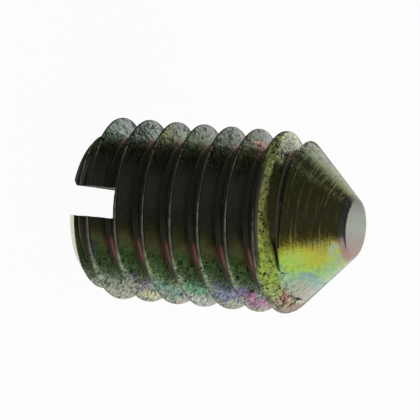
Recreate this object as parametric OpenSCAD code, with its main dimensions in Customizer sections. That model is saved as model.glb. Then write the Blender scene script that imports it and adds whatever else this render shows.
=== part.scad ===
// Slotted set screw with a cone point and a coarse right-hand thread, in millimetres.
// The origin is the centre of the slotted end face, which lies on z = 0.
// +Z runs along the screw towards its point, and the slot runs along X.

/* [Thread] */
// Diameter over the thread's crests
thread_d = 7.65; // [6.6:0.05:9.6]
// Distance from one crest to the next along the screw
pitch = 1.25; // [0.9:0.05:1.6]
// Width of the flat along the crest
crest_w = 0.11; // [0.08:0.01:0.3]
// Width of the flat at the bottom of the groove
root_w = 0.24; // [0.16:0.01:0.4]
// Angle between the two flanks of the groove
flank_angle = 60; // [52:1:70]
// Width of the broken corner on each side of the crest
crest_break = 0.025; // [0.01:0.005:0.035]
// Direction in which the groove leaves the slotted end, from X, seen from the point
groove_start_turn = 21; // [0:1:359]

/* [Thread run-out] */
// Height of the groove's middle line where it stops changing
run_out_z = 9.16; // [7.5:0.02:9.8]
// Length of thread over which the groove changes, in turns
run_out_turns = 0.15; // [0.1:0.05:1.2]
// How far the last of the groove leans towards the point
run_out_lean = 0.28; // [0:0.02:0.36]
// How much shallower than the rest the last of the groove is
run_out_rise = 0.2; // [0:0.01:0.24]

/* [Body] */
// Length of the screw
body_l = 11.8; // [10:0.1:20]
// Diameter of the flat slotted end
slotted_end_d = 5.7; // [4.4:0.1:6.2]
// Length of the chamfer beside the slotted end
end_chamfer_l = 0.88; // [0.5:0.02:1.4]

/* [Cone point] */
// Angle across the cone
point_angle = 87; // [76:1:100]
// Diameter at which the cone's line meets the flat of the blunt tip
tip_d = 2.4; // [1.4:0.1:3.2]
// Radius that rounds the edge of the tip
tip_edge_r = 0.25; // [0.1:0.05:0.6]
// Radius that rounds the shoulder between the thread and the cone
shoulder_r = 0.8; // [0.4:0.1:1.6]

/* [Slot] */
// Width of the screwdriver slot
slot_w = 1.28; // [0.8:0.02:1.8]
// Depth of the screwdriver slot
slot_d = 2.36; // [1.2:0.02:3]
// How far the slot's middle lies off the screw's axis
slot_offset = 0.12; // [-0.3:0.02:0.3]

/* [Hidden] */

crest_r = thread_d / 2;
tip_r = tip_d / 2;

// Groove, from its flats and the angle of its flanks
flank_w = (pitch - crest_w - root_w) / 2;
groove_depth = flank_w / tan(flank_angle / 2);
break_depth = crest_break / tan(flank_angle);

// Rings of the thread: one section of the groove every 360 / ring_steps degrees
ring_steps = 48;
first_turn = -3;
last_turn = ceil(body_l / pitch) + 1;
ring_count = (last_turn - first_turn) * ring_steps;

// Lean of the cone's side from the screw's axis, and where the cone would meet the crests
cone_lean = point_angle / 2;
cone_z = body_l - (crest_r - tip_r) / tan(cone_lean);

// Revolved outlines run this far outside the crests, and the slot's cut this far outside the ends
clear = 0.3;
// The shoulder's arc starts at this lean, and meets the crests there
shoulder_lean = 8;
arc_steps = 5;

// Height of the groove's middle line, in turns from where it leaves the slotted end
function groove_z(turn) = pitch * turn;
// Share of the run-out still to come, from 1 on the full thread to 0 at its end
function run_out_left(turn) = min(1, max(0, (run_out_z - groove_z(turn)) / pitch / run_out_turns));

// One section of the groove as [height from its middle line, radius], from crest to crest
function groove_form(left) =
  let (shallow = run_out_rise * (1 - left),
       slack = shallow * tan(flank_angle / 2),
       edge = pitch / 2 - crest_w / 2 - slack)
  [[-edge, crest_r],
   [-edge + crest_break, crest_r - break_depth],
   [-root_w / 2, crest_r - groove_depth + shallow],
   [root_w / 2, crest_r - groove_depth + shallow],
   [edge - crest_break, crest_r - break_depth],
   [edge, crest_r]];
form_count = len(groove_form(1));

// Points of one ring, turned into place round the screw
function ring(i) =
  let (turn = first_turn + i / ring_steps,
       direction = groove_start_turn + 360 * turn,
       left = run_out_left(turn),
       middle = groove_z(turn) + run_out_lean * (1 - left))
  [for (p = groove_form(left)) [p[1] * cos(direction), p[1] * sin(direction), middle + p[0]]];

// Number of point j on ring i, where the last point's neighbour is the first one a turn on
function at(i, j) = j < form_count ? i * form_count + j : (i + ring_steps) * form_count;

// Threaded rod that is longer than the screw at both ends
module threaded_rod() {
  last = ring_count - ring_steps;
  rings = [for (i = [0 : ring_count]) each ring(i)];
  low_centre = len(rings);
  points = concat(rings, [[0, 0, groove_z(first_turn) - pitch], [0, 0, groove_z(last_turn) + pitch]]);
  sides = [for (i = [0 : last - 1], j = [0 : form_count - 1])
    each [[at(i, j), at(i, j + 1), at(i + 1, j)], [at(i + 1, j), at(i, j + 1), at(i + 1, j + 1)]]];
  turn_start = [for (i = [0 : ring_steps - 1]) at(i, 0)];
  low_rim = concat(turn_start, [for (j = [form_count : -1 : 1]) at(0, j)]);
  high_rim = concat([for (i = [last : last + ring_steps - 1]) at(i, 0)],
                    [for (j = [form_count : -1 : 1]) at(last, j)]);
  rim_count = len(low_rim);
  low_end = [for (k = [0 : rim_count - 1]) [low_centre, low_rim[k], low_rim[(k + 1) % rim_count]]];
  high_end = [for (k = [0 : rim_count - 1]) [low_centre + 1, high_rim[(k + 1) % rim_count], high_rim[k]]];
  polyhedron(points = points, faces = concat(sides, low_end, high_end), convexity = 10);
}

// Points of an arc of an outline, by the lean of its tangent from the screw's axis
function outline_arc(centre, r, from, to) =
  [for (k = [0 : arc_steps])
    let (lean = from + (to - from) * k / arc_steps)
    centre + r * [cos(lean), sin(lean)]];

// Turned outline of the screw: chamfered slotted end, rounded shoulder, cone and blunt tip
module turned_blank() {
  outer_r = crest_r + clear;
  chamfer_slope = end_chamfer_l / (crest_r - slotted_end_d / 2);
  shoulder_centre = [crest_r - shoulder_r, cone_z - shoulder_r * tan(cone_lean / 2)];
  shoulder = outline_arc(shoulder_centre, shoulder_r, shoulder_lean, cone_lean);
  tip_centre = [tip_r - tip_edge_r * tan((90 - cone_lean) / 2), body_l - tip_edge_r];
  tip = outline_arc(tip_centre, tip_edge_r, cone_lean, 90);
  rotate_extrude($fn = 96)
    polygon(concat(
      [[0, 0], [slotted_end_d / 2, 0], [outer_r, (outer_r - slotted_end_d / 2) * chamfer_slope]],
      [[outer_r, shoulder[0][1] - (outer_r - shoulder[0][0]) / tan(shoulder_lean)]],
      shoulder, tip, [[0, body_l]]));
}

// Straight slot across the slotted end
module driver_slot() {
  slot_l = thread_d + 2 * clear;
  translate([-slot_l / 2, slot_offset - slot_w / 2, -clear])
    cube([slot_l, slot_w, slot_d + clear]);
}

module set_screw() {
  color("darkolivegreen")
    difference() {
      intersection() {
        threaded_rod();
        turned_blank();
      }
      driver_slot();
    }
}

set_screw();
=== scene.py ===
"""Slotted set screw with a cone point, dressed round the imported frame.

The screw stands on its slotted end, +Z runs towards its point and the slot runs along X. All
sizes in the classes are in millimetres and are turned to Blender's metres where a mesh is made.
"""

import logging
import math
import random
from dataclasses import dataclass, field
from enum import Enum
from typing import Any, Callable, Optional, Sequence

import bpy
from mathutils import Matrix, Vector


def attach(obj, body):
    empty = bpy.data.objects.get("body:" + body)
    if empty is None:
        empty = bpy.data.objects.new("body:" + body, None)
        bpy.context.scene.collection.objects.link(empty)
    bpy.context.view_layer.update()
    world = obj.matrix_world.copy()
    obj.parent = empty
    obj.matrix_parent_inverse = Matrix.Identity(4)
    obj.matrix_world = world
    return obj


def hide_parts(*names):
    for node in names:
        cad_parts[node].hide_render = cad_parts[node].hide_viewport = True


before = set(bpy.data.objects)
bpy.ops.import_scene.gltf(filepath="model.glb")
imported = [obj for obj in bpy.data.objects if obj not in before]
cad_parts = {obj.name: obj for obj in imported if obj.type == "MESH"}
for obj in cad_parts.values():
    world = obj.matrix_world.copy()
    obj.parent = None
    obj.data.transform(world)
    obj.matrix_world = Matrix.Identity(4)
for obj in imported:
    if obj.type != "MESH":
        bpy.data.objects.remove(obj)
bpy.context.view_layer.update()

MM = 0.001
IMAGE_SIDE = 420
MERGE_MM = 0.0005
LOG = logging.getLogger("set_screw")

Piece = bpy.types.Object
Tree = bpy.types.NodeTree
Socket = bpy.types.NodeSocket


def linear(hex_colour: str) -> tuple[float, float, float, float]:
    """Turn an sRGB hex colour into a linear one.

    Args:
        hex_colour: Colour such as "#6c7638".

    Returns:
        Red, green, blue and a full alpha, each from 0 to 1.
    """
    parts = [int(hex_colour.lstrip("#")[i:i + 2], 16) / 255 for i in (0, 2, 4)]
    red, green, blue = (c / 12.92 if c <= 0.04045 else ((c + 0.055) / 1.055) ** 2.4 for c in parts)
    return red, green, blue, 1.0


def add_node(tree: Tree, kind: str, inputs: Optional[dict[Any, Any]] = None,
             out: Any = 0, stops: Sequence[tuple[float, str]] = (),
             **settings: Any) -> Optional[Socket]:
    """Add a node with its settings, its inputs and, on a ramp, its colours.

    Args:
        tree: Node tree that gets the node.
        kind: Blender's name of the node's type, without "ShaderNode" at its start.
        inputs: Input name or number to a socket that feeds it, or to its fixed value.
        out: Name or number of the output that is wanted.
        stops: Places and hex colours of a colour ramp.
        settings: Properties of the node.

    Returns:
        The wanted output, or nothing where the node has none.
    """
    node = tree.nodes.new("ShaderNode" + kind)
    for name, value in settings.items():
        setattr(node, name, value)
    for place, _ in stops[2:]:
        node.color_ramp.elements.new(place)
    for element, (place, colour) in zip(node.color_ramp.elements if stops else (), stops):
        element.position, element.color = place, linear(colour)
    for name, value in (inputs or {}).items():
        if isinstance(value, Socket):
            tree.links.new(value, node.inputs[name])
        else:
            node.inputs[name].default_value = value
    return node.outputs[out] if len(node.outputs) else None


def begin_edit(piece: Piece, mode: str = "VERT") -> None:
    """Make the piece the only selected object and open it in edit mode with nothing selected."""
    if bpy.context.mode != "OBJECT":
        bpy.ops.object.mode_set(mode="OBJECT")
    bpy.ops.object.select_all(action="DESELECT")
    piece.select_set(True)
    bpy.context.view_layer.objects.active = piece
    bpy.ops.object.mode_set(mode="EDIT")
    bpy.ops.mesh.select_mode(type=mode)
    bpy.ops.mesh.select_all(action="DESELECT")


def pick(piece: Piece, wanted: Callable[[Vector], bool]) -> None:
    """Select the vertices, in edit mode, whose place in millimetres passes the test."""
    bpy.ops.object.mode_set(mode="OBJECT")
    for vertex in piece.data.vertices:
        vertex.select = wanted(vertex.co / MM)
    bpy.ops.object.mode_set(mode="EDIT")


def end_edit() -> None:
    """Go back to object mode."""
    bpy.ops.object.mode_set(mode="OBJECT")


def draw_outline(name: str, points: Sequence[tuple[float, float]]) -> Piece:
    """Draw an open outline in the half plane X > 0, Y = 0 by extruding one vertex along it.

    Args:
        name: Name of the new object.
        points: Radius and height of each corner, in millimetres.

    Returns:
        Object with one chain of edges.
    """
    bpy.ops.object.select_all(action="DESELECT")
    bpy.ops.mesh.primitive_plane_add(size=MM)
    piece = bpy.context.object
    piece.name = name
    radius, height = points[0]
    bpy.context.scene.cursor.location = (radius * MM, 0, height * MM)
    bpy.ops.object.mode_set(mode="EDIT")
    bpy.ops.mesh.select_mode(type="VERT")
    bpy.ops.mesh.merge(type="CURSOR")
    for (r0, z0), (r1, z1) in zip(points, points[1:]):
        bpy.ops.mesh.extrude_region_move(
            TRANSFORM_OT_translate={"value": ((r1 - r0) * MM, 0, (z1 - z0) * MM)})
    end_edit()
    return piece


def apply_modifier(piece: Piece, kind: str, **settings: Any) -> None:
    """Add a modifier with its settings to the piece and apply it."""
    bpy.ops.object.select_all(action="DESELECT")
    piece.select_set(True)
    bpy.context.view_layer.objects.active = piece
    modifier = piece.modifiers.new(kind.title(), kind)
    for name, value in settings.items():
        setattr(modifier, name, value)
    bpy.ops.object.modifier_apply(modifier=modifier.name)


def cut(piece: Piece, tool: Piece, operation: str) -> None:
    """Join or cut the piece with a tool by a Boolean modifier, and delete the tool."""
    apply_modifier(piece, "BOOLEAN", object=tool, operation=operation, solver="EXACT")
    bpy.data.objects.remove(tool, do_unlink=True)


def ease(low: float, high: float, value: float) -> float:
    """Rise smoothly from 0 at low to 1 at high."""
    t = min(1.0, max(0.0, (value - low) / (high - low)))
    return t * t * (3 - 2 * t)


class EndName(Enum):
    """The two ends of the threaded rod, below and above the screw."""

    LOW = -1
    HIGH = 1


@dataclass(frozen=True)
class Thread:
    """Coarse right-hand thread, with its run-out into the cone."""

    crest_d: float = 7.65
    pitch: float = 1.25
    crest_w: float = 0.11
    root_w: float = 0.24
    flank_lean: float = 30.0
    crest_round: float = 0.025
    crest_segments: int = 3
    root_round: float = 0.012
    root_segments: int = 1
    flank_cuts: int = 5
    groove_change: tuple[float, float] = (0.45, 0.55)
    near: float = 0.001
    start_turn: float = 21.0
    run_out_z: float = 9.16
    run_out_turns: float = 0.15
    run_out_lean: float = 0.28
    run_out_rise: float = 0.2
    steps: int = 192
    turns: int = 12
    first_turn: int = -2

    @property
    def crest_r(self) -> float:
        """Radius over the crests."""
        return self.crest_d / 2

    @property
    def depth(self) -> float:
        """Depth of the groove, from its flats and the lean of its flanks."""
        flank_w = (self.pitch - self.crest_w - self.root_w) / 2
        return flank_w / math.tan(math.radians(self.flank_lean))

    def left(self, height: float) -> float:
        """Share of the run-out still to come, for a groove whose middle line is at this height."""
        return min(1.0, max(0.0, (self.run_out_z - height) / self.pitch / self.run_out_turns))

    def run_out(self, place: Vector) -> Vector:
        """Move a point of the plain thread to where the run-out puts it.

        Args:
            place: Point on the plain thread, in millimetres.

        Returns:
            The same point with the groove's lean and rise.
        """
        angle = math.atan2(place.y, place.x) / math.tau % 1.0 - self.start_turn / 360
        turn = place.z / self.pitch - angle
        below = math.floor(turn)
        share = turn - below
        low, high = ((below + k + angle) * self.pitch for k in (0, 1))
        upper = ease(*self.groove_change, share)
        gone_low = (1 - self.left(low)) * (1 - upper)
        gone_high = (1 - self.left(high)) * upper
        gone = gone_low + gone_high
        radius = math.hypot(place.x, place.y)
        sunk = (self.crest_r - radius) / self.depth
        grow = 1 + self.run_out_rise * gone * sunk / radius
        slack = self.run_out_rise * math.tan(math.radians(self.flank_lean)) * (1 - sunk)
        rise = self.run_out_lean * gone + slack * (gone_high - gone_low)
        return Vector((place.x * grow, place.y * grow, place.z + rise))

    def close_end(self, rod: Piece, end: EndName) -> None:
        """Close one open end of the rod with faces to a point on the axis.

        Args:
            rod: Threaded rod, open at its ends.
            end: Which end to close.
        """
        begin_edit(rod, "EDGE")
        bpy.ops.mesh.select_non_manifold(extend=False, use_wire=False, use_multi_face=False,
                                         use_non_contiguous=False, use_verts=False)
        end_edit()
        middle = sum(v.co.z for v in rod.data.vertices) / len(rod.data.vertices)
        for edge in rod.data.edges:
            if (rod.data.vertices[edge.vertices[0]].co.z - middle) * end.value < 0:
                edge.select = False
        for vertex in rod.data.vertices:
            vertex.select = vertex.select and (vertex.co.z - middle) * end.value > 0
        rim = [v.co.z for v in rod.data.vertices if v.select]
        tip = sum(rim) / len(rim) + end.value * self.pitch * MM / 2
        bpy.context.scene.cursor.location = (0, 0, tip)
        bpy.ops.object.mode_set(mode="EDIT")
        bpy.ops.mesh.extrude_edges_move()
        bpy.ops.mesh.merge(type="CURSOR")
        end_edit()

    def build_rod(self) -> Piece:
        """Make a closed threaded rod that is longer than the screw at both ends.

        Returns:
            The rod.
        """
        half, crest, root = self.pitch / 2, self.crest_w / 2, self.root_w / 2
        first = self.pitch * (self.first_turn - self.start_turn / 360)
        form = [(-half, 0.0), (-half + crest, 0.0), (-root, self.depth), (root, self.depth),
                (half - crest, 0.0), (half, 0.0)]
        rod = draw_outline("threaded_rod", [(self.crest_r - sunk, first + z) for z, sunk in form])
        for sunk, width, segments in ((0.0, self.crest_round, self.crest_segments),
                                      (self.depth, self.root_round, self.root_segments)):
            level = self.crest_r - sunk
            begin_edit(rod)
            pick(rod, lambda p: abs(level - p.x) < self.near and abs(p.z - first) < half - self.near)
            bpy.ops.mesh.bevel(affect="VERTICES", offset_type="OFFSET", offset=width * MM,
                               segments=segments)
            end_edit()
        begin_edit(rod)
        deep = self.depth + self.near - self.root_round / 2
        pick(rod, lambda p: self.crest_round / 2 < self.crest_r - p.x < deep)
        bpy.ops.mesh.subdivide(number_cuts=self.flank_cuts)
        end_edit()
        apply_modifier(rod, "SCREW", axis="Z", angle=math.tau, screw_offset=self.pitch * MM,
                       iterations=self.turns, steps=self.steps, render_steps=self.steps,
                       use_merge_vertices=False, use_normal_calculate=True)
        begin_edit(rod)
        bpy.ops.mesh.select_all(action="SELECT")
        bpy.ops.mesh.remove_doubles(threshold=MERGE_MM * MM)
        end_edit()
        for vertex in rod.data.vertices:
            vertex.co = self.run_out(vertex.co / MM) * MM
        for end in EndName:
            self.close_end(rod, end)
        begin_edit(rod, "FACE")
        bpy.ops.mesh.select_all(action="SELECT")
        bpy.ops.mesh.normals_make_consistent(inside=False)
        end_edit()
        return rod


@dataclass(frozen=True)
class TurnedBody:
    """Turned outline of the screw: slotted end, chamfer, shoulder, cone and blunt tip."""

    length: float = 11.8
    end_d: float = 5.7
    chamfer_l: float = 0.88
    point_angle: float = 87.0
    tip_d: float = 2.4
    tip_round: float = 0.25
    shoulder_round: float = 0.8
    shoulder_lean: float = 8.0
    end_round: float = 0.04
    end_segments: int = 3
    inner_r: tuple[float, float] = (1.4, 0.6)
    mark_pitch: float = 0.055
    mark_depth: float = 0.004
    mark_valley: float = 0.1
    clear: float = 0.3
    steps: int = 256
    seed: int = 7

    def arc(self, centre: tuple[float, float], radius: float, start: float, end: float,
            count: int = 8) -> list[tuple[float, float]]:
        """List points of an arc of the outline, by the lean of its tangent from the axis."""
        leans = [math.radians(start + (end - start) * k / count) for k in range(count + 1)]
        return [(centre[0] + radius * math.cos(a), centre[1] + radius * math.sin(a)) for a in leans]

    def cone_slope(self) -> float:
        """Loss of radius for each millimetre along the cone."""
        return math.tan(math.radians(self.point_angle / 2))

    def cone_start(self, crest_r: float) -> float:
        """Height at which the cone's line meets the crests."""
        return self.length - (crest_r - self.tip_d / 2) / self.cone_slope()

    def cone_marks(self, start: tuple[float, float],
                   end: tuple[float, float]) -> list[tuple[float, float]]:
        """List the points of the cone's side, with the fine ridges that the turning tool left.

        Args:
            start: Radius and height where the cone begins.
            end: Radius and height where the tip's round begins.

        Returns:
            Points between the two, without them.
        """
        rng = random.Random(self.seed)
        run = math.hypot(end[0] - start[0], end[1] - start[1])
        count = int(run / self.mark_pitch)
        out = ((end[1] - start[1]) / run, (start[0] - end[0]) / run)
        points = []
        for k in range(1, count):
            t = k / count
            deep = self.mark_depth * rng.uniform(0, 1) * (1 if k % 2 else self.mark_valley)
            points.append((start[0] + (end[0] - start[0]) * t - out[0] * deep,
                           start[1] + (end[1] - start[1]) * t - out[1] * deep))
        return points

    def build(self, crest_r: float) -> Piece:
        """Revolve the outline into the body that bounds the threaded rod.

        Args:
            crest_r: Radius over the thread's crests.

        Returns:
            The turned body.
        """
        lean = self.point_angle / 2
        cone_z = self.cone_start(crest_r)
        outer = crest_r + self.clear
        slope = self.chamfer_l / (crest_r - self.end_d / 2)
        chamfer = math.degrees(math.atan2(1, slope))
        end_r = self.end_d / 2 - self.end_round * math.tan(math.radians((90 - chamfer) / 2))
        end_arc = self.arc((end_r, self.end_round), self.end_round, -90, -chamfer, self.end_segments)
        shoulder = self.arc((crest_r - self.shoulder_round,
                             cone_z - self.shoulder_round * math.tan(math.radians(lean / 2))),
                            self.shoulder_round, self.shoulder_lean, lean)
        tip = self.arc((self.tip_d / 2 - self.tip_round * math.tan(math.radians((90 - lean) / 2)),
                        self.length - self.tip_round), self.tip_round, lean, 90)
        rise = (outer - shoulder[0][0]) / math.tan(math.radians(self.shoulder_lean))
        points = ([(0.0, 0.0), (self.inner_r[0], 0.0)] + end_arc
                  + [(outer, (outer - self.end_d / 2) * slope), (outer, shoulder[0][1] - rise)]
                  + shoulder + self.cone_marks(shoulder[-1], tip[0]) + tip
                  + [(self.inner_r[1], self.length), (0.0, self.length)])
        body = draw_outline("turned_body", points)
        begin_edit(body)
        bpy.ops.mesh.select_all(action="SELECT")
        bpy.ops.mesh.spin(steps=self.steps, angle=math.tau, center=(0, 0, 0), axis=(0, 0, 1),
                          use_auto_merge=True)
        bpy.ops.mesh.select_all(action="SELECT")
        bpy.ops.mesh.remove_doubles(threshold=MERGE_MM * MM)
        bpy.ops.mesh.normals_make_consistent(inside=False)
        end_edit()
        return body


@dataclass(frozen=True)
class DriverSlot:
    """Straight slot across the slotted end, sawn a little rough."""

    width: float = 1.28
    depth: float = 2.36
    offset: float = 0.12
    overrun: float = 0.4
    saw_marks: float = 0.022
    saw_cuts: int = 20
    seed: int = 4

    def build(self, crest_r: float) -> Piece:
        """Make the cutter of the slot, with the small steps of a saw on its sides."""
        long, high = 2 * (crest_r + self.overrun), self.depth + self.overrun
        bpy.ops.object.select_all(action="DESELECT")
        bpy.ops.mesh.primitive_cube_add(
            size=1, location=(0, self.offset * MM, (self.depth - high / 2) * MM),
            scale=(long * MM, self.width * MM, high * MM))
        tool = bpy.context.object
        tool.name = "driver_slot"
        bpy.ops.object.transform_apply(location=True, rotation=True, scale=True)
        begin_edit(tool)
        bpy.ops.mesh.select_all(action="SELECT")
        bpy.ops.mesh.subdivide(number_cuts=self.saw_cuts)
        bpy.ops.transform.vertex_random(offset=self.saw_marks * MM, seed=self.seed)
        end_edit()
        return tool


@dataclass(frozen=True)
class Wear:
    """Damage from handling: a worn corner beside the slot and a crack on the lower shoulder."""

    corner: tuple[float, float, float] = (-2.76, 0.76, 0.0)
    corner_facing: tuple[float, float, float] = (-0.4, -0.5, -0.75)
    corner_depth: float = 0.13
    block_side: float = 1.0
    crack: tuple[tuple[float, float, float], ...] = (
        (-0.62, -3.42, 9.4), (-0.42, -3.36, 9.56), (-0.62, -3.14, 9.7), (-0.2, -3.14, 9.76))
    crack_width: float = 0.07
    crack_end: float = 0.3
    crack_depth: float = 0.2
    crack_overlap: float = 1.15
    shoulder_rise: float = 0.9

    def build_corner(self) -> Piece:
        """Make a block whose one face cuts the corner off."""
        facing = Vector(self.corner_facing).normalized()
        middle = Vector(self.corner) + facing * (self.block_side / 2 - self.corner_depth)
        bpy.ops.object.select_all(action="DESELECT")
        bpy.ops.mesh.primitive_cube_add(size=self.block_side * MM, location=middle * MM,
                                        rotation=facing.to_track_quat("Z", "Y").to_euler())
        tool = bpy.context.object
        tool.name = "worn_corner"
        bpy.ops.object.transform_apply(location=True, rotation=True, scale=True)
        return tool

    def build_crack(self, start: Vector, end: Vector) -> Piece:
        """Make a thin blade that cuts one stretch of the crack.

        Args:
            start: Point on the surface where the stretch begins, in millimetres.
            end: Point on the surface where it ends.

        Returns:
            The blade.
        """
        along = end - start
        middle = (start + end) / 2
        radius = math.hypot(middle.x, middle.y)
        outward = Vector((middle.x, middle.y, self.shoulder_rise * radius)).normalized()
        bpy.ops.object.select_all(action="DESELECT")
        bpy.ops.mesh.primitive_cone_add(
            vertices=4, radius1=self.crack_width * MM,
            radius2=self.crack_width * MM * self.crack_end,
            depth=self.crack_overlap * along.length * MM)
        blade = bpy.context.object
        blade.name = "crack"
        across = along.cross(outward).normalized()
        deep = along.cross(across).normalized() * (self.crack_depth / self.crack_width)
        pose = Matrix((across, deep, along.normalized())).transposed()
        blade.matrix_world = Matrix.Translation(middle * MM) @ pose.to_4x4()
        bpy.ops.object.transform_apply(location=True, rotation=True, scale=True)
        return blade

    def apply(self, screw: Piece) -> None:
        """Cut the damage into the screw."""
        cut(screw, self.build_corner(), "DIFFERENCE")
        points = [Vector(point) for point in self.crack]
        for start, end in zip(points, points[1:]):
            cut(screw, self.build_crack(start, end), "DIFFERENCE")


class Place(Enum):
    """Measures of where on the screw a point lies, with lengths in millimetres."""

    X = "along the slot"
    Y = "from the middle plane"
    Z = "above the slotted end"
    ACROSS = "from the middle plane, led astray in clouds"
    ASIDE = "from the middle plane, to either side"
    RADIUS = "from the axis"
    UNDER_CREST = "below the crests"
    PAST_ROOT = "outside the dark part of the root"
    OVER_LAST_ROOT = "outside the root of the run-out"
    SUNK = "below the turned outline"
    TURN = "turns round the axis"
    PITCHES = "pitches along the thread"
    SHARE = "share of a pitch, with the crest at a half"


Places = dict[Place, Socket]
Zone = tuple[tuple[Place, float, float], ...]
Tints = tuple[tuple[float, str], ...]


@dataclass(frozen=True)
class Speckle:
    """Cloudy pattern, of which one span is stretched to two levels."""

    per_mm: float
    detail: float = 2.0
    roughness: float = 0.5
    span: tuple[float, float] = (0.0, 1.0)
    levels: tuple[float, float] = (0.0, 1.0)


@dataclass(frozen=True)
class Stain:
    """Patch of colour on the film: mostly the chromate's own interference colour, and near the crack a
    few near-black spots of painted shade.
    """

    height: float
    across: float
    radius: float
    colour: str
    share: float = 0.8
    wanders: bool = True


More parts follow.
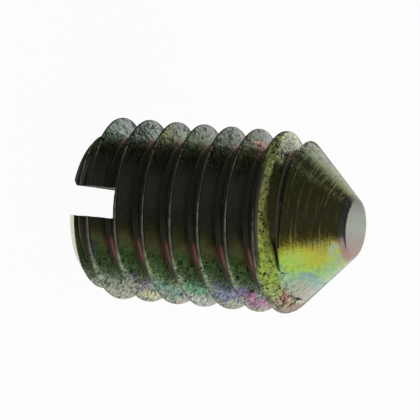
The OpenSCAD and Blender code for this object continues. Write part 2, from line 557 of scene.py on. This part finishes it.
@dataclass(frozen=True)
class OlivePassivatedZinc:
    """Zinc plated steel in an olive chromate: glossy, iridescent, pitted and worn on its crests.

    Tints pair a distance from the screw's middle plane with a colour there: the film's own, and
    painted shade in the root, rust and tip tints. The crests carry painted shade, and a worn line
    that is also a painted glint. A zone lists measures that each rise smoothly from 0 at their
    first value to 1 at their second.
    """

    slot: str = "plated_steel"
    metallic: float = 0.905
    roughness: tuple[float, float] = (0.15, 0.28)
    scratch_rough: float = 0.3
    pit_rough: float = 0.3
    side_rough: float = -0.07
    land_rough: float = 0.25
    root_rough: float = 0.15
    bump: float = 0.35
    bump_depth: float = 0.02

    # Film's colours, light and pastel where it lies thick at the sides
    half_width: float = 3.825
    flank_tints: Tints = (
        (-3.75, "#a8a892"), (-3.2, "#929e8a"), (-2.7, "#8aa07c"), (-2.2, "#86a26e"),
        (-1.6, "#949872"), (-1.2, "#808062"), (-0.9, "#6c6c54"), (-0.4, "#747266"),
        (0.3, "#868478"), (1.3, "#86867c"), (2.2, "#6c7058"), (2.8, "#68704e"), (3.3, "#7c886e"),
        (3.75, "#747c70"))
    point_tints: Tints = (
        (-3.6, "#b08e84"), (-3.0, "#b4ac9c"), (-2.6, "#a4b69c"), (-2.2, "#98c088"),
        (-1.8, "#a0c45c"), (-1.3, "#b2b844"), (-0.9, "#a8a044"), (-0.4, "#8e8852"),
        (0.4, "#8c8860"), (1.6, "#7c7e50"), (2.6, "#808a60"), (3.6, "#848c74"))
    band_tints: Tints = (
        (-3.7, "#ac9484"), (-3.35, "#a8a684"), (-2.9, "#9cac68"), (-2.2, "#98b048"),
        (-1.4, "#98ac4a"), (-0.6, "#98a04e"), (0.2, "#868848"), (1.4, "#7c8250"),
        (2.6, "#8c9858"), (3.6, "#8a9678"))
    # The tip's tints darken its top, which is painted shade
    tip_tints_and_top_shade: Tints = (
        (-1.2, "#a48678"), (-0.5, "#9a8c84"), (0.0, "#969e90"), (0.6, "#8c9084"), (1.2, "#6e6a5e"))
    # Rust towards the sides of the root; its dark middle is painted shade, the same as the root's
    rust_and_root_shade_tints: Tints = (
        (-3.0, "#5c5a4a"), (-2.4, "#644848"), (-1.9, "#985c62"), (-1.45, "#8c5048"),
        (-1.2, "#38362e"), (2.45, "#38362e"), (2.75, "#745648"), (3.0, "#8c6a5c"))
    # Painted shade that darkens the roots, less deep far down on the -Y side
    root_shade_tints: Tints = (
        (-3.0, "#5c5a4a"), (-2.4, "#4c4e3c"), (-1.8, "#424234"), (-1.2, "#38362e"),
        (2.6, "#38362e"))
    # Painted shade in the root of the run-out
    last_root_shade: str = "#38362c"
    # Painted shade in the last crease, beside the band
    painted_crease_shade: str = "#2e301e"
    # Painted highlight on the rim of the slotted end, on the lower side
    rim: str = "#ccc8b0"
    # Worn zinc on the crest line, which also serves as a painted glint
    worn_zinc_and_glint: str = "#b4b0a4"
    # Painted shade on the crests
    painted_crest_shade: str = "#4c4a40"
    pit: str = "#1c1d17"
    stains_and_crack_shade: tuple[Stain, ...] = tuple(Stain(*row) for row in (
        (1.5, 3.4, 0.75, "#7e9688"), (2.5, 3.4, 0.7, "#788c82"), (3.7, 3.3, 0.55, "#75805a"),
        (7.6, 3.2, 0.26, "#b0685c"), (6.7, 3.3, 0.5, "#748560"), (3.35, 3.3, 0.4, "#7c8448"),
        (6.45, 3.05, 0.2, "#a07e78"), (3.95, 3.0, 0.22, "#986c64"), (2.7, 3.0, 0.18, "#a06a62"),
        (3.05, -3.2, 0.4, "#8c8090"), (3.05, -3.6, 0.3, "#d8dca0", 0.9, False),
        (4.1, -3.2, 0.5, "#6c9484"), (5.5, -3.2, 0.52, "#62a07a"),
        (5.35, -3.6, 0.35, "#b8bcb0", 0.8, False), (6.75, -3.2, 0.5, "#747a9c"),
        (7.15, -3.6, 0.3, "#a88c9a"), (7.75, -3.2, 0.45, "#746890"), (8.2, -3.5, 0.55, "#bc7096"),
        (1.25, -1.9, 0.4, "#6c6690"), (1.9, -1.5, 0.3, "#84606a"), (11.1, -1.7, 0.55, "#94bc84"),
        (11.4, -1.1, 0.3, "#a0b494"), (10.4, -2.35, 0.4, "#90b0a8"), (9.45, -3.35, 0.22, "#b4786c"),
        (8.5, 3.45, 0.42, "#d8e098", 0.85), (8.55, 2.9, 0.35, "#c4cc70"),
        (6.35, 3.2, 0.28, "#566048"), (9.3, 3.1, 0.35, "#686c54"),
        (9.62, -3.24, 0.17, "#c8c4a0", 0.8, False), (9.52, -3.06, 0.16, "#b4706c", 0.7, False),
        # Near-black spots along the crack, painted shade in it
        (9.63, -3.06, 0.05, "#1e1b16", 1.0, False), (9.67, -3.1, 0.06, "#1e1b16", 1.0, False),
        (9.7, -3.14, 0.06, "#1e1b16", 1.0, False), (9.6, -3.18, 0.05, "#2a2620", 1.0, False)))
    stain_core: float = 0.35
    stain_side_x: float = 0.4

    # Zones of the screw that look different
    band_zone: Zone = ((Place.RADIUS, 3.3, 3.42), (Place.SUNK, 0.055, 0.02))
    point_zone: Zone = ((Place.PITCHES, 6.54, 6.57),)
    tip_zone: Zone = ((Place.Z, 11.5, 11.62),)
    # Where the painted highlight lies on the rim
    rim_highlight_zone: Zone = ((Place.Z, 0.42, 0.3), (Place.Y, 0.2, -0.2))
    cone_zone: Zone = ((Place.Z, 9.5, 9.9),)
    rough_zone: Zone = ((Place.ASIDE, 1.2, 2.3),)
    top_zone: Zone = ((Place.Y, 2.2, 3.0),)
    next_flank_zone: Zone = ((Place.SHARE, 0.3, 0.2),)
    # Where the painted shade lies in the roots
    root_shade_zone: Zone = ((Place.PAST_ROOT, 0.02, -0.02), (Place.Z, 9.35, 9.25), (Place.Z, 0.42, 0.6))
    rust_zone: Zone = ((Place.SHARE, 0.2, 0.14), (Place.Z, 0.9, 1.3))
    top_rust_zone: Zone = ((Place.Y, 2.2, 2.4),)
    # Where the painted shade lies in the last crease
    painted_crease_shade_zone: Zone = (
        (Place.SUNK, 0.03, 0.06), (Place.SUNK, 0.42, 0.3), (Place.Y, -0.6, -1.0),
        (Place.PITCHES, 6.54, 6.57), (Place.Z, 9.9, 9.8))
    # Where the painted shade lies in the root of the run-out
    last_root_shade_zone: Zone = (
        (Place.OVER_LAST_ROOT, 0.04, 0.02), (Place.OVER_LAST_ROOT, -0.04, -0.02),
        (Place.SHARE, 0.08, 0.13), (Place.SHARE, 0.36, 0.33), (Place.ACROSS, -1.35, -1.0),
        (Place.Z, 9.2, 9.3), (Place.Z, 9.72, 9.66))
    # Where the worn line and its painted glint lie
    worn_and_glint_zone: Zone = (
        (Place.UNDER_CREST, 0.014, 0.005), (Place.PITCHES, 6.57, 6.54), (Place.Y, 0.9, -0.1),
        (Place.SHARE, 0.475, 0.495), (Place.SHARE, 0.54, 0.52))
    # Where the painted glint is dimmed, on the lower side
    glint_dimming_zone: Zone = ((Place.Y, -0.4, -1.0),)
    # Where the painted shade lies on the crests
    painted_crest_shade_zone: Zone = (
        (Place.UNDER_CREST, 0.06, 0.04), (Place.PITCHES, 6.7, 6.66), (Place.Y, -2.3, -1.5),
        (Place.Y, 2.8, 1.6))
    root_climb: float = 0.04
    flank_climb: float = 0.12
    glint_dimming_share: float = -0.6

    # Patterns: millimetre clouds of colour, crystals of zinc of a fifth of a millimetre and the
    # patches that they come in, rubbed spots along the crests' worn line and painted glint, pits of a
    # tenth of a millimetre and their clusters, fine grain, and turning marks, which are drawn coarser
    # than the real ones so that they show
    clouds: Speckle = Speckle(0.9, 4.0, 0.6, (0.0, 1.0), (-0.5, 0.5))
    cloud_reach: float = 2.2
    crystals: Speckle = Speckle(5.5, 6.0, 0.8, (0.42, 0.58), (0.15, 1.35))
    darkest_crystal: float = 0.08
    patches: Speckle = Speckle(1.7, 2.0, 0.5, (0.4, 0.6), (0.6, 1.0))
    cone_calm: float = -0.6
    top_contrast: float = 0.5
    tip_contrast: float = 0.4
    rub_and_glint_breaks: Speckle = Speckle(3.2, 3.0, 0.5, (0.38, 0.6), (0.2, 1.0))
    pits_per_mm: float = 6.5
    pit_clusters: Speckle = Speckle(1.9, 5.0, 0.5, (0.4, 0.62), (0.02, 0.42))
    pit_edge: float = 0.08
    cone_pits: float = -0.16
    top_pits: float = 0.3
    grain: Speckle = Speckle(9.0, 4.0)
    grain_span: tuple[float, float] = (0.3, 0.7)
    marks: Speckle = Speckle(1.0, 4.0)
    marks_per_mm: float = 14.0
    marks_per_turn: float = 9.0
    mark_relief: float = 1.6
    scratch_span: tuple[float, float] = (0.54, 0.64)
    shoulder_blend: float = 0.4

    def tint(self, tree: Tree, across: Socket, tints: Tints) -> Socket:
        """Colour a surface by how far it lies from the screw's middle plane."""
        side = 2 * self.half_width
        share = add_node(tree, "MapRange", {
            "Value": across, "From Min": -self.half_width, "From Max": self.half_width})
        return add_node(tree, "ValToRGB", {0: share},
                        stops=[(0.5 + place / side, colour) for place, colour in tints])

    def limit(self, tree: Tree, places: Places, zone: Zone,
              share: Optional[Socket] = None) -> Socket:
        """Keep a share, or the whole, inside a zone that fades out smoothly at its borders."""
        for place, start, end in zone:
            step = add_node(tree, "MapRange", {
                "Value": places[place], "From Min": start, "From Max": end},
                interpolation_type="SMOOTHSTEP")
            share = step if share is None else add_node(
                tree, "Math", {0: share, 1: step}, operation="MULTIPLY")
        return share

    def coat(self, tree: Tree, colour: Socket, coats: Sequence[tuple[Socket, Any]]) -> Socket:
        """Lay coats over a colour, each by its share, from a hex colour or a socket."""
        for share, over in coats:
            colour = add_node(tree, "Mix", {
                "Factor": share, "A": colour, "B": linear(over) if isinstance(over, str) else over},
                data_type="RGBA", out="Result")
        return colour

    def speckle(self, tree: Tree, spot: Socket, pattern: Speckle) -> Socket:
        """Draw a cloudy pattern with its span stretched to its levels."""
        noise = add_node(tree, "TexNoise", {
            "Vector": spot, "Scale": pattern.per_mm, "Detail": pattern.detail,
            "Roughness": pattern.roughness}, out="Fac")
        return add_node(tree, "MapRange", {
            "Value": noise, "From Min": pattern.span[0], "From Max": pattern.span[1],
            "To Min": pattern.levels[0], "To Max": pattern.levels[1]})

    def measure(self, tree: Tree, spot: Socket, thread: Thread, body: TurnedBody) -> Places:
        """Work out where on the screw a point lies.

        Args:
            tree: Node tree of the material.
            spot: Point in millimetres.
            thread: Thread whose pitches are counted.
            body: Turned body whose outline bounds the screw.

        Returns:
            A socket for each measure.
        """
        x, y, z = add_node(tree, "SeparateXYZ", {0: spot}).node.outputs
        flat = add_node(tree, "VectorMath", {0: spot, 1: (1, 1, 0)}, operation="MULTIPLY")
        radius = add_node(tree, "VectorMath", {0: flat}, out="Value", operation="LENGTH")
        back_x = add_node(tree, "Math", {0: x, 1: -1.0}, operation="MULTIPLY")
        back_y = add_node(tree, "Math", {0: y, 1: -1.0}, operation="MULTIPLY")
        angle = add_node(tree, "Math", {0: back_y, 1: back_x}, operation="ARCTAN2")
        turn = add_node(tree, "Math", {0: angle, 1: math.tau}, operation="DIVIDE")
        start = thread.pitch * (0.5 - thread.start_turn / 360)
        lifted = add_node(tree, "Math", {0: z, 1: start}, operation="SUBTRACT")
        turns_up = add_node(tree, "Math", {0: lifted, 1: thread.pitch}, operation="DIVIDE")
        pitches = add_node(tree, "Math", {0: turns_up, 1: turn}, operation="SUBTRACT")
        cone_end = thread.crest_r + body.cone_slope() * body.cone_start(thread.crest_r)
        cone_r = add_node(tree, "Math", {0: z, 1: -body.cone_slope(), 2: cone_end},
                          operation="MULTIPLY_ADD")
        turned_r = add_node(tree, "Math", {
            0: cone_r, 1: thread.crest_r, 2: self.shoulder_blend}, operation="SMOOTH_MIN")
        root_r = thread.crest_r - thread.depth
        places = {
            Place.X: x, Place.Y: y, Place.Z: z, Place.RADIUS: radius, Place.TURN: turn,
            Place.PITCHES: pitches,
            Place.SHARE: add_node(tree, "Math", {0: pitches}, operation="FRACT"),
            Place.ASIDE: add_node(tree, "Math", {0: y}, operation="ABSOLUTE"),
            Place.ACROSS: add_node(tree, "Math", {
                0: self.speckle(tree, spot, self.clouds), 1: self.cloud_reach, 2: y},
                operation="MULTIPLY_ADD")}
        root_edge = add_node(tree, "Math", {
            0: self.limit(tree, places, self.next_flank_zone), 1: self.flank_climb,
            2: root_r + self.root_climb}, operation="MULTIPLY_ADD")
        for place, outer, inner in (
                (Place.UNDER_CREST, thread.crest_r, radius), (Place.PAST_ROOT, radius, root_edge),
                (Place.OVER_LAST_ROOT, radius, root_r + thread.run_out_rise),
                (Place.SUNK, turned_r, radius)):
            places[place] = add_node(tree, "Math", {0: outer, 1: inner}, operation="SUBTRACT")
        return places

    def stain(self, tree: Tree, places: Places, colour: Socket) -> Socket:
        """Lay the stain patches and the crack's painted shade on the film, those that wander by the
        clouds and the rest on one side.
        """
        past = add_node(tree, "Math", {0: places[Place.X], 1: self.stain_side_x},
                        operation="SUBTRACT")
        past = add_node(tree, "Math", {0: past, 1: 0.0}, operation="MAXIMUM")
        loose = add_node(tree, "CombineXYZ", {"Y": places[Place.ACROSS], "Z": places[Place.Z]})
        fixed = add_node(tree, "CombineXYZ", {
            "X": past, "Y": places[Place.Y], "Z": places[Place.Z]})
        for stain in self.stains_and_crack_shade:
            gap = add_node(tree, "VectorMath", {
                0: loose if stain.wanders else fixed, 1: (0, stain.across, stain.height)},
                out="Value", operation="DISTANCE")
            near = add_node(tree, "MapRange", {
                "Value": gap, "From Min": stain.radius, "From Max": self.stain_core * stain.radius,
                "To Max": stain.share}, interpolation_type="SMOOTHSTEP")
            colour = self.coat(tree, colour, [(near, stain.colour)])
        return colour

    def material(self, thread: Thread, body: TurnedBody) -> bpy.types.Material:
        """Build the node material.

        Args:
            thread: Thread whose crests get painted shade and a worn line that is also a painted glint.
            body: Turned body whose last crest shows as a band.

        Returns:
            The material.
        """
        material = bpy.data.materials.new("olive_passivated_zinc")
        material.use_nodes = True
        tree = material.node_tree
        tree.nodes.clear()
        spot = add_node(tree, "Mapping", {
            0: add_node(tree, "TexCoord", out="Object"), "Scale": (1 / MM,) * 3})
        places = self.measure(tree, spot, thread, body)

        # Turned steel, zinc plated in a bath and dipped in a chromate, whose thin film shines in
        # interference colours that turn from olive to green and pink
        across = places[Place.ACROSS]
        flank, point, band = (self.tint(tree, across, tints) for tints in (
            self.flank_tints, self.point_tints, self.band_tints))
        on_band = self.limit(tree, places, self.band_zone)
        on_point = self.limit(tree, places, self.point_zone)
        on_tip = self.limit(tree, places, self.tip_zone)
        # The tip's tints carry painted shade at its top
        tip = self.tint(tree, places[Place.Y], self.tip_tints_and_top_shade)
        point = self.coat(tree, point, [(on_band, band)])
        colour = self.coat(tree, flank, [(on_point, point), (on_tip, tip)])
        colour = self.stain(tree, places, colour)
        # Painted highlight on the rim of the slotted end's lower side
        colour = self.coat(tree, colour, [(self.limit(tree, places, self.rim_highlight_zone), self.rim)])

        # Crystals of zinc mottle the film at the sides, on the last crest and a little on the tip
        on_cone = self.limit(tree, places, self.cone_zone)
        on_top = self.limit(tree, places, self.top_zone)
        on_land = add_node(tree, "Math", {0: on_point, 1: on_band}, operation="MULTIPLY")
        on_end = add_node(tree, "Math", {0: on_tip, 1: self.tip_contrast}, operation="MULTIPLY")
        coarse = self.limit(tree, places, self.rough_zone)
        for other in (on_land, on_end):
            coarse = add_node(tree, "Math", {0: coarse, 1: other}, operation="MAXIMUM")
        mottled = add_node(tree, "Math", {
            0: self.speckle(tree, spot, self.patches), 1: coarse}, operation="MULTIPLY")
        for share, change in ((on_cone, self.cone_calm), (on_top, self.top_contrast)):
            mottled = add_node(tree, "Math", {
                0: mottled, 1: add_node(tree, "Math", {0: share, 1: change, 2: 1.0},
                                        operation="MULTIPLY_ADD")}, operation="MULTIPLY")
        crystals = add_node(tree, "Mix", {
            "Factor": mottled, "A": 1.0, "B": self.speckle(tree, spot, self.crystals)},
            out="Result", clamp_factor=False)
        crystals = add_node(tree, "Math", {0: crystals, 1: self.darkest_crystal}, operation="MAXIMUM")
        colour = add_node(tree, "VectorMath", {0: colour, "Scale": crystals}, operation="SCALE")

        # Painted shade darkens the root, the last crease and the root of the run-out, and rust bleeds
        # through the film in the root towards the sides
        in_root_shade = self.limit(tree, places, self.root_shade_zone)
        rusty = add_node(tree, "Math", {
            0: self.limit(tree, places, self.rust_zone),
            1: self.limit(tree, places, self.top_rust_zone)}, operation="MAXIMUM")
        rust, root = (self.tint(tree, places[Place.Y], tints) for tints in (
            self.rust_and_root_shade_tints, self.root_shade_tints))
        root = self.coat(tree, root, [(rusty, rust)])
        colour = self.coat(tree, colour, [
            (in_root_shade, root), (self.limit(tree, places, self.painted_crease_shade_zone), self.painted_crease_shade),
            (self.limit(tree, places, self.last_root_shade_zone), self.last_root_shade)])

        # The crests carry painted shade but for a thin line where handling wore the film off to zinc,
        # which is also a painted glint, dimmed on the lower side
        glint_dimming = add_node(tree, "Math", {
            0: self.limit(tree, places, self.glint_dimming_zone), 1: self.glint_dimming_share, 2: 1.0},
            operation="MULTIPLY_ADD")
        worn = add_node(tree, "Math", {
            0: self.speckle(tree, spot, self.rub_and_glint_breaks), 1: glint_dimming}, operation="MULTIPLY")
        worn = self.limit(tree, places, self.worn_and_glint_zone, worn)
        colour = self.coat(tree, colour, [
            (self.limit(tree, places, self.painted_crest_shade_zone), self.painted_crest_shade),
            (worn, self.worn_zinc_and_glint)])

        # Pits come in loose clusters where the film is coarse, fewer on the cone
        cells = add_node(tree, "TexVoronoi", {
            "Vector": spot, "Scale": self.pits_per_mm}, out="Distance")
        pit_size = add_node(tree, "Math", {
            0: on_cone, 1: self.cone_pits, 2: self.speckle(tree, spot, self.pit_clusters)},
            operation="MULTIPLY_ADD")
        more = add_node(tree, "Math", {0: on_top, 1: self.top_pits, 2: 1.0}, operation="MULTIPLY_ADD")
        for factor in (coarse, more):
            pit_size = add_node(tree, "Math", {0: pit_size, 1: factor}, operation="MULTIPLY")
        depth = add_node(tree, "Math", {0: pit_size, 1: cells}, operation="SUBTRACT")
        pit = add_node(tree, "MapRange", {
            "Value": depth, "From Min": 0.0, "From Max": self.pit_edge})
        colour = self.coat(tree, colour, [(pit, self.pit)])

        # Turning marks run round the cone, as the tool left them
        rings = add_node(tree, "CombineXYZ", {
            axis: add_node(tree, "Math", {0: places[place], 1: count}, operation="MULTIPLY")
            for axis, place, count in (("X", Place.Z, self.marks_per_mm),
                                       ("Y", Place.TURN, self.marks_per_turn))})
        on_side = add_node(tree, "Math", {0: on_point, 1: on_tip}, operation="SUBTRACT")
        marks = add_node(tree, "Math", {
            0: self.speckle(tree, rings, self.marks), 1: on_side}, operation="MULTIPLY")
        grain = self.speckle(tree, spot, self.grain)
        relief = add_node(tree, "Math", {0: marks, 1: self.mark_relief, 2: grain},
                          operation="MULTIPLY_ADD")
        relief = add_node(tree, "Math", {0: relief, 1: pit}, operation="SUBTRACT")
        normal = add_node(tree, "Bump", {
            "Height": relief, "Strength": self.bump, "Distance": self.bump_depth * MM})

        # The film is glossy, and duller where it is scratched, pitted, in the root or on the last
        # crest
        rough = add_node(tree, "MapRange", {
            "Value": grain, "From Min": self.grain_span[0], "From Max": self.grain_span[1],
            "To Min": self.roughness[0], "To Max": self.roughness[1]})
        scratched = add_node(tree, "MapRange", {
            "Value": marks, "From Min": self.scratch_span[0], "From Max": self.scratch_span[1]},
            interpolation_type="SMOOTHSTEP")
        for share, extra in (
                (scratched, self.scratch_rough), (pit, self.pit_rough), (on_side, self.side_rough),
                (on_land, self.land_rough), (in_root_shade, self.root_rough)):
            rough = add_node(tree, "Math", {0: share, 1: extra, 2: rough}, operation="MULTIPLY_ADD")
        shader = add_node(tree, "BsdfPrincipled", {
            "Base Color": colour, "Metallic": self.metallic, "Roughness": rough, "Normal": normal})
        add_node(tree, "OutputMaterial", {"Surface": shader})
        return material


@dataclass
class SetScrew:
    """The whole screw: threaded rod bounded by the turned body, with its slot."""

    thread: Thread = field(default_factory=Thread)
    body: TurnedBody = field(default_factory=TurnedBody)
    slot: DriverSlot = field(default_factory=DriverSlot)
    wear: Wear = field(default_factory=Wear)
    finish: OlivePassivatedZinc = field(default_factory=OlivePassivatedZinc)
    smooth_angle: float = 28.0

    def build(self) -> Piece:
        """Make the screw's mesh, give it its finish and set it on the frame.

        Returns:
            The finished piece.
        """
        screw = self.thread.build_rod()
        LOG.info("threaded rod: %d faces", len(screw.data.polygons))
        cut(screw, self.body.build(self.thread.crest_r), "INTERSECT")
        cut(screw, self.slot.build(self.thread.crest_r), "DIFFERENCE")
        self.wear.apply(screw)
        screw.name = screw.data.name = "threaded_body"
        bpy.ops.object.select_all(action="DESELECT")
        screw.select_set(True)
        bpy.context.view_layer.objects.active = screw
        bpy.ops.object.shade_smooth_by_angle(angle=math.radians(self.smooth_angle))
        screw.data.materials.clear()
        screw.data.materials.append(self.finish.material(self.thread, self.body))
        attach(screw, "root")
        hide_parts("set_screw")
        return screw


@dataclass(frozen=True)
class Studio:
    """White floor inside a light tent that is open overhead, and the photograph's camera."""

    floor_side: float = 900.0
    view_tilt: float = 22.7
    view_roll: float = 4.97
    view_turn: float = 1.2
    aim_z: float = 5.736
    scale_px: float = 23.787
    aim_px: tuple[float, float] = (222.3, 217.05)
    distance: float = 275.0
    sensor: float = 36.0
    clip: tuple[float, float] = (10.0, 3000.0)
    paper_glow: float = 0.96
    # Painted light and shadow on the floor, seen only in the metal's reflections: a bright spot under
    # the screw, a pool of light on the -Y side and a shadow near the screw
    painted_spot_near: float = 3.05
    painted_spot_far: float = 3.2
    painted_spot_side: tuple[float, float] = (-0.1, 0.0)
    painted_lamp_edge: tuple[float, float] = (0.08, 0.45)
    painted_lamp_glow: float = 0.5
    shade_near: float = 25.0
    shade_far: float = 80.0
    shade_glow: float = 0.08
    openings: tuple[tuple[tuple[float, float, float], ...], ...] = (
        ((-1.6, -0.48, 0.065), (0.68, -0.61, 0.04), (1.13, 1.3, 0.04), (-1.15, 1.85, 0.04)),
        ((0.5, 0.9, 0.04), (1.25, 1.35, 0.04), (2.9, 2.45, 0.04), (0.5, 2.2, 0.04)))
    opening_glow: float = 0.04
    opening_haze: float = 0.1
    haze_reach: float = 0.22

    def build_camera(self) -> Piece:
        """Place the camera where the photograph was taken from."""
        tilt, roll, turn = (math.radians(v) for v in (self.view_tilt, self.view_roll, self.view_turn))
        axis = Vector((0, 0, 1))
        outward = Vector((math.cos(turn), math.sin(turn), 0))
        across = Vector((-math.sin(turn), math.cos(turn), 0))
        back = math.sin(tilt) * axis - math.cos(tilt) * outward
        along = math.cos(tilt) * axis + math.sin(tilt) * outward
        right = math.cos(roll) * along + math.sin(roll) * across
        up = math.cos(roll) * across - math.sin(roll) * along
        half = IMAGE_SIDE / 2
        target = (Vector((0, 0, self.aim_z)) - right * (self.aim_px[0] - half) / self.scale_px
                  + up * (self.aim_px[1] - half) / self.scale_px)
        data = bpy.data.cameras.new("camera")
        data.sensor_width = self.sensor
        data.lens = self.sensor * self.scale_px * self.distance / IMAGE_SIDE
        data.clip_start, data.clip_end = (reach * MM for reach in self.clip)
        camera = bpy.data.objects.new("camera", data)
        bpy.context.scene.collection.objects.link(camera)
        pose = Matrix((right, up, back)).transposed().to_4x4()
        pose.translation = (target + back * self.distance) * MM
        camera.matrix_world = pose
        bpy.context.scene.camera = camera
        return camera

    def build_floor(self) -> Piece:
        """Lay the white floor at the height of the slotted end.

        The metal sees the floor with a painted shadow near the screw and white further out, with a
        painted bright patch right under it and a painted pool of light on its -Y side. The camera sees
        it white all over.

        Returns:
            The floor.
        """
        bpy.ops.object.select_all(action="DESELECT")
        bpy.ops.mesh.primitive_plane_add(size=self.floor_side * MM, location=(0, 0, 0))
        floor = bpy.context.object
        floor.name = "floor"
        material = bpy.data.materials.new("white_paper")
        material.use_nodes = True
        tree = material.node_tree
        tree.nodes.clear()
        spot = add_node(tree, "TexCoord", out="Object")
        gap = add_node(tree, "VectorMath", {0: spot}, out="Value", operation="LENGTH")
        # Painted shadow near the screw, fading out to white
        glow = add_node(tree, "MapRange", {
            "Value": gap, "From Min": self.shade_near * MM, "From Max": self.shade_far * MM,
            "To Min": self.shade_glow}, interpolation_type="SMOOTHSTEP")
        # Painted bright spot right under the screw
        painted_spot_glow = add_node(tree, "MapRange", {
            "Value": gap, "From Min": self.painted_spot_far * MM, "From Max": self.painted_spot_near * MM},
            interpolation_type="SMOOTHSTEP")
        way = add_node(tree, "VectorMath", {0: spot}, operation="NORMALIZE")
        beside = add_node(tree, "VectorMath", {0: way, 1: (0, -1, 0)}, out="Value",
                          operation="DOT_PRODUCT")
        # Painted pool of light on the -Y side
        painted_lamp_light = add_node(tree, "MapRange", {
            "Value": beside, "From Min": self.painted_lamp_edge[0], "From Max": self.painted_lamp_edge[1],
            "To Max": self.painted_lamp_glow}, interpolation_type="SMOOTHSTEP")
        glow = add_node(tree, "Math", {0: glow, 1: painted_lamp_light}, operation="MAXIMUM")
        side = add_node(tree, "MapRange", {
            "Value": beside, "From Min": self.painted_spot_side[0], "From Max": self.painted_spot_side[1]},
            interpolation_type="SMOOTHSTEP")
        painted_spot_glow = add_node(tree, "Math", {0: painted_spot_glow, 1: side}, operation="MULTIPLY")
        glow = add_node(tree, "Math", {0: glow, 1: painted_spot_glow}, operation="MAXIMUM")
        camera = add_node(tree, "LightPath", out="Is Camera Ray")
        glossy = add_node(tree, "LightPath", out="Is Glossy Ray")
        glow = add_node(tree, "Math", {0: glow, 1: camera}, operation="MAXIMUM")
        seen = add_node(tree, "Math", {0: camera, 1: glossy}, operation="MAXIMUM")
        share = add_node(tree, "Math", {0: seen, 1: self.paper_glow}, operation="MULTIPLY")
        paper = add_node(tree, "BsdfDiffuse", {"Color": linear("#ffffff")})
        white = add_node(tree, "Emission", {"Color": (1, 1, 1, 1), "Strength": glow})
        mix = add_node(tree, "MixShader", {0: share, 1: paper, 2: white})
        add_node(tree, "OutputMaterial", {"Surface": mix})
        floor.data.materials.append(material)
        return floor

    def build_world(self) -> None:
        """Light the screw with a white tent that has two openings to a dark room overhead.

        The corners of an opening are the X and Y of its directions at Z = 1, each with the blur of
        the edge that starts there.
        """
        world = bpy.data.worlds.new("light_tent")
        bpy.context.scene.world = world
        world.use_nodes = True
        tree = world.node_tree
        tree.nodes.clear()
        look = add_node(tree, "TexCoord", out="Generated")
        inside: Any = 0.0
        over_lower_edge = None
        for opening in self.openings:
            part: Any = 1.0
            corners = [Vector((x, y, 1)) for x, y, _ in opening]
            for (_, _, blur), start, end in zip(opening, corners, corners[1:] + corners[:1]):
                over = add_node(tree, "VectorMath", {
                    0: look, 1: start.cross(end).normalized()}, out="Value", operation="DOT_PRODUCT")
                if over_lower_edge is None:
                    over_lower_edge = over
                edge = add_node(tree, "MapRange", {
                    "Value": over, "From Min": -blur, "From Max": blur},
                    interpolation_type="SMOOTHSTEP")
                part = add_node(tree, "Math", {0: part, 1: edge}, operation="MULTIPLY")
            inside = add_node(tree, "Math", {0: inside, 1: part}, operation="MAXIMUM")
        dark = add_node(tree, "MapRange", {
            "Value": over_lower_edge, "From Min": self.haze_reach, "From Max": 0.0,
            "To Min": self.opening_glow, "To Max": self.opening_haze}, interpolation_type="SMOOTHSTEP")
        glow = add_node(tree, "MapRange", {"Value": inside, "To Min": 1.0, "To Max": dark})
        camera = add_node(tree, "LightPath", out="Is Camera Ray")
        glow = add_node(tree, "Math", {0: glow, 1: camera}, operation="MAXIMUM")
        sky = add_node(tree, "Background", {"Color": (1, 1, 1, 1), "Strength": glow})
        add_node(tree, "OutputWorld", {"Surface": sky})

    def build(self) -> None:
        """Set up the camera, the floor, the light tent and the view settings."""
        self.build_camera()
        self.build_floor()
        self.build_world()
        bpy.context.scene.view_settings.view_transform = "Standard"


def main() -> None:
    """Build the studio and the screw, and report the piece."""
    logging.basicConfig(level=logging.INFO, format="%(name)s: %(message)s")
    Studio().build()
    screw = SetScrew().build()
    LOG.info("%s: %d faces", screw.name, len(screw.data.polygons))


if __name__ == "__main__":
    main()
